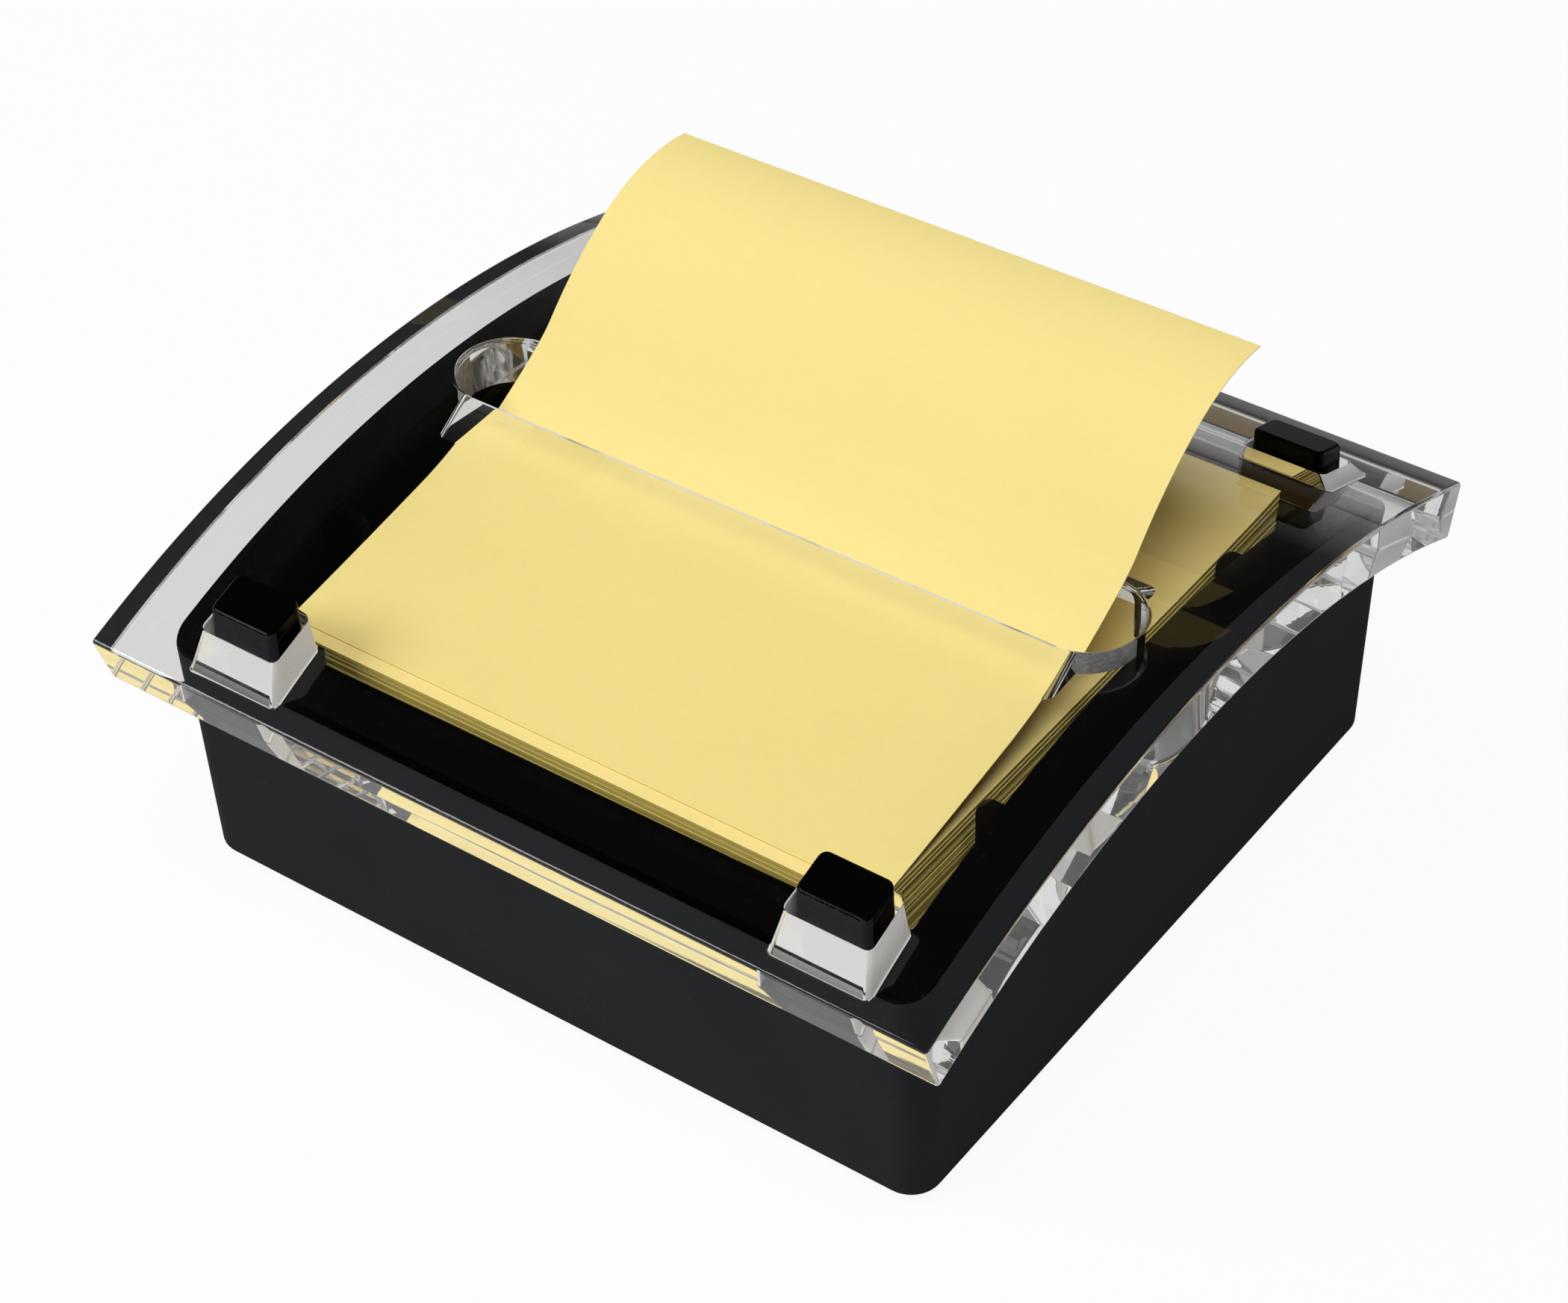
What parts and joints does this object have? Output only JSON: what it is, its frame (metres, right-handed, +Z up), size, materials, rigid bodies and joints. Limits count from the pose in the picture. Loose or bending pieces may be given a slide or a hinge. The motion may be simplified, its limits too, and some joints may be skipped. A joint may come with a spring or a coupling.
{
  "type": "sticky note dispenser",
  "caption": "Weighted desk dispenser for square pop-up notes: a black tray with corner posts holds a thick clear arched lid, and a note rises through the slot in its crown.",
  "frame": {"origin": "on the desk, under the middle of the tray", "axes": "+Z up, +X along the slot, -Y towards the front, where the popped note starts"},
  "size_m": [0.106, 0.1038, 0.0551],
  "materials": {
    "black_plastic": "satin, finely textured",
    "ballast_iron": "raw casting",
    "screw_steel": "zinc plated",
    "foot_rubber": "matte",
    "clear_acrylic": "clear, polished",
    "yellow_paper": "uncoated"
  },
  "bodies": {
    "tray": {"base_tray": "black_plastic", "bottom_cover": "black_plastic", "ballast_block": "ballast_iron", "cover_screws": "screw_steel", "foot_front_left": "foot_rubber", "foot_front_right": "foot_rubber", "foot_back_left": "foot_rubber", "foot_back_right": "foot_rubber", "note_pad": "yellow_paper"},
    "cover_plate": {"lid": "clear_acrylic"},
    "note": {"popped_note": "yellow_paper"}
  },
  "joints": [
    {"name": "lid_lift", "type": "slide", "parent": "tray", "child": "cover_plate", "axis": [0, 0, 1], "range_m": [0, 0.04]},
    {"name": "note_pull", "type": "hinge", "parent": "cover_plate", "child": "note", "pos_m": [0, -0.0364, 0.10785], "axis": [1, 0, 0], "range_deg": [0, 32]}
  ]
}
